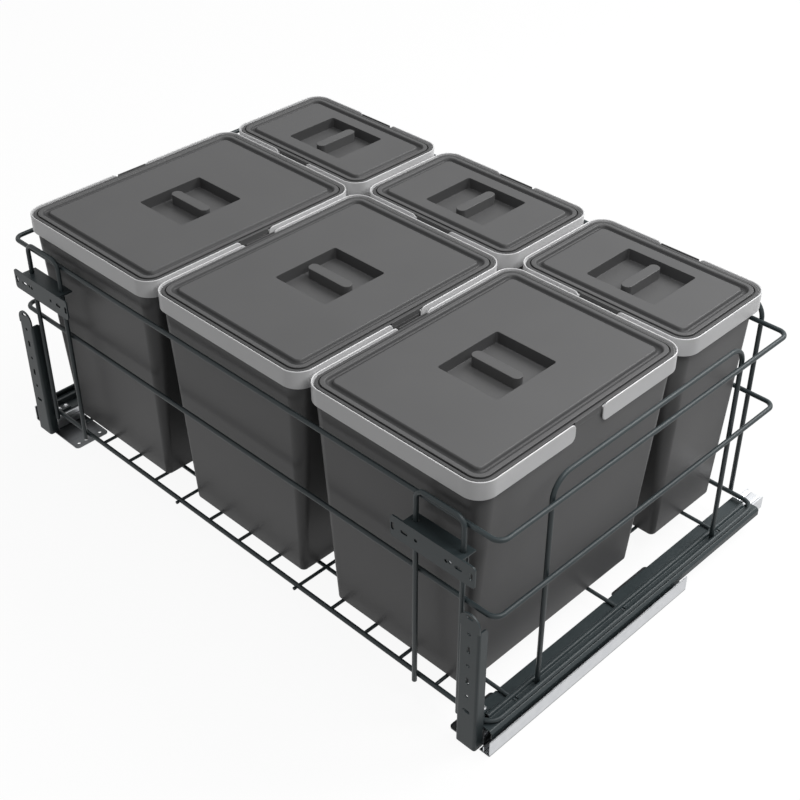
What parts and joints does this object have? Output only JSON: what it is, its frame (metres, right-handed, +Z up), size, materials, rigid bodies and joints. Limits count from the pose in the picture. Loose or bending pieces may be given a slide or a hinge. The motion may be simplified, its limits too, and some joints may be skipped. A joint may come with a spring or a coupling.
{
  "type": "pull out bin frame",
  "caption": "Wire basket on full-extension floor runners that carries lidded waste bins, with brackets for a cabinet door front.",
  "frame": {"origin": "on the cabinet floor, under the middle of the whole frame's box", "axes": "+X across the width, -Y towards the front and the pull-out direction, +Z up"},
  "size_m": [0.862, 0.5624, 0.345],
  "materials": {
    "frame_paint": "satin anthracite powder coat",
    "zinc": "bright zinc plate",
    "ball_steel": "polished",
    "cage_plastic": "matt moulded",
    "bin_plastic": "fine matt moulded",
    "rim_plastic": "satin moulded",
    "lid_plastic": "fine matt moulded"
  },
  "bodies": {
    "cabinet_side": {"left_cabinet_rail": "zinc", "right_cabinet_rail": "zinc"},
    "basket": {"left_drawer_rail": "zinc", "right_drawer_rail": "zinc", "left_side_profile": "frame_paint", "right_side_profile": "frame_paint", "bottom_ring": "frame_paint", "middle_ring": "frame_paint", "top_ring": "frame_paint", "floor_wires": "frame_paint", "cross_wires": "frame_paint", "left_side_hoop": "frame_paint", "right_side_hoop": "frame_paint", "rear_hoop": "frame_paint", "left_front_hoop": "frame_paint", "right_front_hoop": "frame_paint", "left_lower_bracket": "frame_paint", "right_lower_bracket": "frame_paint", "bracket_rivets": "zinc"},
    "left_middle": {"left_middle_rail": "zinc"},
    "left_lower_cage": {"left_lower_ball_cage": "cage_plastic", "left_lower_balls": "ball_steel"},
    "left_upper_cage": {"left_upper_ball_cage": "cage_plastic", "left_upper_balls": "ball_steel"},
    "right_middle": {"right_middle_rail": "zinc"},
    "right_lower_cage": {"right_lower_ball_cage": "cage_plastic", "right_lower_balls": "ball_steel"},
    "right_upper_cage": {"right_upper_ball_cage": "cage_plastic", "right_upper_balls": "ball_steel"},
    "left_upper_bracket_set": {"left_upper_bracket": "frame_paint", "left_clamp_plate": "frame_paint"},
    "left_clamp_screw": {"left_clamp_screw": "zinc"},
    "right_upper_bracket_set": {"right_upper_bracket": "frame_paint", "right_clamp_plate": "frame_paint"},
    "right_clamp_screw": {"right_clamp_screw": "zinc"},
    "left_large_bin_body": {"left_large_bin": "bin_plastic"},
    "left_large_rim_body": {"left_large_rim": "rim_plastic"},
    "left_large_lid_body": {"left_large_lid": "lid_plastic"},
    "left_small_bin_body": {"left_small_bin": "bin_plastic"},
    "left_small_rim_body": {"left_small_rim": "rim_plastic"},
    "left_small_lid_body": {"left_small_lid": "lid_plastic"},
    "centre_large_bin_body": {"centre_large_bin": "bin_plastic"},
    "centre_large_rim_body": {"centre_large_rim": "rim_plastic"},
    "centre_large_lid_body": {"centre_large_lid": "lid_plastic"},
    "centre_small_bin_body": {"centre_small_bin": "bin_plastic"},
    "centre_small_rim_body": {"centre_small_rim": "rim_plastic"},
    "centre_small_lid_body": {"centre_small_lid": "lid_plastic"},
    "right_large_bin_body": {"right_large_bin": "bin_plastic"},
    "right_large_rim_body": {"right_large_rim": "rim_plastic"},
    "right_large_lid_body": {"right_large_lid": "lid_plastic"},
    "right_small_bin_body": {"right_small_bin": "bin_plastic"},
    "right_small_rim_body": {"right_small_rim": "rim_plastic"},
    "right_small_lid_body": {"right_small_lid": "lid_plastic"}
  },
  "joints": [
    {"name": "pull_out", "type": "slide", "parent": "cabinet_side", "child": "basket", "axis": [0, -1, 0], "range_m": [0, 0.45]},
    {"name": "left_middle_slide", "type": "slide", "parent": "cabinet_side", "child": "left_middle", "axis": [0, -1, 0], "range_m": [0, 0.2255]},
    {"name": "left_lower_cage_slide", "type": "slide", "parent": "cabinet_side", "child": "left_lower_cage", "axis": [0, -1, 0], "range_m": [0, 0.113]},
    {"name": "left_upper_cage_slide", "type": "slide", "parent": "cabinet_side", "child": "left_upper_cage", "axis": [0, -1, 0], "range_m": [0, 0.338]},
    {"name": "right_middle_slide", "type": "slide", "parent": "cabinet_side", "child": "right_middle", "axis": [0, -1, 0], "range_m": [0, 0.2255]},
    {"name": "right_lower_cage_slide", "type": "slide", "parent": "cabinet_side", "child": "right_lower_cage", "axis": [0, -1, 0], "range_m": [0, 0.113]},
    {"name": "right_upper_cage_slide", "type": "slide", "parent": "cabinet_side", "child": "right_upper_cage", "axis": [0, -1, 0], "range_m": [0, 0.338]},
    {"name": "left_bracket_height", "type": "slide", "parent": "basket", "child": "left_upper_bracket_set", "axis": [0, 0, 1], "range_m": [-0.03, 0.015]},
    {"name": "left_clamp_turn", "type": "hinge", "parent": "left_upper_bracket_set", "child": "left_clamp_screw", "pos_m": [-0.3705, -0.27, 0.251], "axis": [0, 1, 0], "continuous": true},
    {"name": "right_bracket_height", "type": "slide", "parent": "basket", "child": "right_upper_bracket_set", "axis": [0, 0, 1], "range_m": [-0.03, 0.015]},
    {"name": "right_clamp_turn", "type": "hinge", "parent": "right_upper_bracket_set", "child": "right_clamp_screw", "pos_m": [0.3705, -0.27, 0.251], "axis": [0, 1, 0], "continuous": true},
    {"name": "left_large_bin_lift", "type": "slide", "parent": "basket", "child": "left_large_bin_body", "axis": [0, 0, 1], "range_m": [0, 0.33]},
    {"name": "left_large_rim_lift", "type": "slide", "parent": "left_large_bin_body", "child": "left_large_rim_body", "axis": [0, 0, 1], "range_m": [0, 0.06]},
    {"name": "left_large_lid_lift", "type": "slide", "parent": "left_large_rim_body", "child": "left_large_lid_body", "axis": [0, 0, 1], "range_m": [0, 0.1]},
    {"name": "left_small_bin_lift", "type": "slide", "parent": "basket", "child": "left_small_bin_body", "axis": [0, 0, 1], "range_m": [0, 0.33]},
    {"name": "left_small_rim_lift", "type": "slide", "parent": "left_small_bin_body", "child": "left_small_rim_body", "axis": [0, 0, 1], "range_m": [0, 0.06]},
    {"name": "left_small_lid_lift", "type": "slide", "parent": "left_small_rim_body", "child": "left_small_lid_body", "axis": [0, 0, 1], "range_m": [0, 0.1]},
    {"name": "centre_large_bin_lift", "type": "slide", "parent": "basket", "child": "centre_large_bin_body", "axis": [0, 0, 1], "range_m": [0, 0.33]},
    {"name": "centre_large_rim_lift", "type": "slide", "parent": "centre_large_bin_body", "child": "centre_large_rim_body", "axis": [0, 0, 1], "range_m": [0, 0.06]},
    {"name": "centre_large_lid_lift", "type": "slide", "parent": "centre_large_rim_body", "child": "centre_large_lid_body", "axis": [0, 0, 1], "range_m": [0, 0.1]},
    {"name": "centre_small_bin_lift", "type": "slide", "parent": "basket", "child": "centre_small_bin_body", "axis": [0, 0, 1], "range_m": [0, 0.33]},
    {"name": "centre_small_rim_lift", "type": "slide", "parent": "centre_small_bin_body", "child": "centre_small_rim_body", "axis": [0, 0, 1], "range_m": [0, 0.06]},
    {"name": "centre_small_lid_lift", "type": "slide", "parent": "centre_small_rim_body", "child": "centre_small_lid_body", "axis": [0, 0, 1], "range_m": [0, 0.1]},
    {"name": "right_large_bin_lift", "type": "slide", "parent": "basket", "child": "right_large_bin_body", "axis": [0, 0, 1], "range_m": [0, 0.33]},
    {"name": "right_large_rim_lift", "type": "slide", "parent": "right_large_bin_body", "child": "right_large_rim_body", "axis": [0, 0, 1], "range_m": [0, 0.06]},
    {"name": "right_large_lid_lift", "type": "slide", "parent": "right_large_rim_body", "child": "right_large_lid_body", "axis": [0, 0, 1], "range_m": [0, 0.1]},
    {"name": "right_small_bin_lift", "type": "slide", "parent": "basket", "child": "right_small_bin_body", "axis": [0, 0, 1], "range_m": [0, 0.33]},
    {"name": "right_small_rim_lift", "type": "slide", "parent": "right_small_bin_body", "child": "right_small_rim_body", "axis": [0, 0, 1], "range_m": [0, 0.06]},
    {"name": "right_small_lid_lift", "type": "slide", "parent": "right_small_rim_body", "child": "right_small_lid_body", "axis": [0, 0, 1], "range_m": [0, 0.1]}
  ],
  "couplings": [
    {"joint": "left_middle_slide", "follows": "pull_out", "ratio": 0.5},
    {"joint": "left_lower_cage_slide", "follows": "pull_out", "ratio": 0.25},
    {"joint": "left_upper_cage_slide", "follows": "pull_out", "ratio": 0.75},
    {"joint": "right_middle_slide", "follows": "pull_out", "ratio": 0.5},
    {"joint": "right_lower_cage_slide", "follows": "pull_out", "ratio": 0.25},
    {"joint": "right_upper_cage_slide", "follows": "pull_out", "ratio": 0.75}
  ]
}
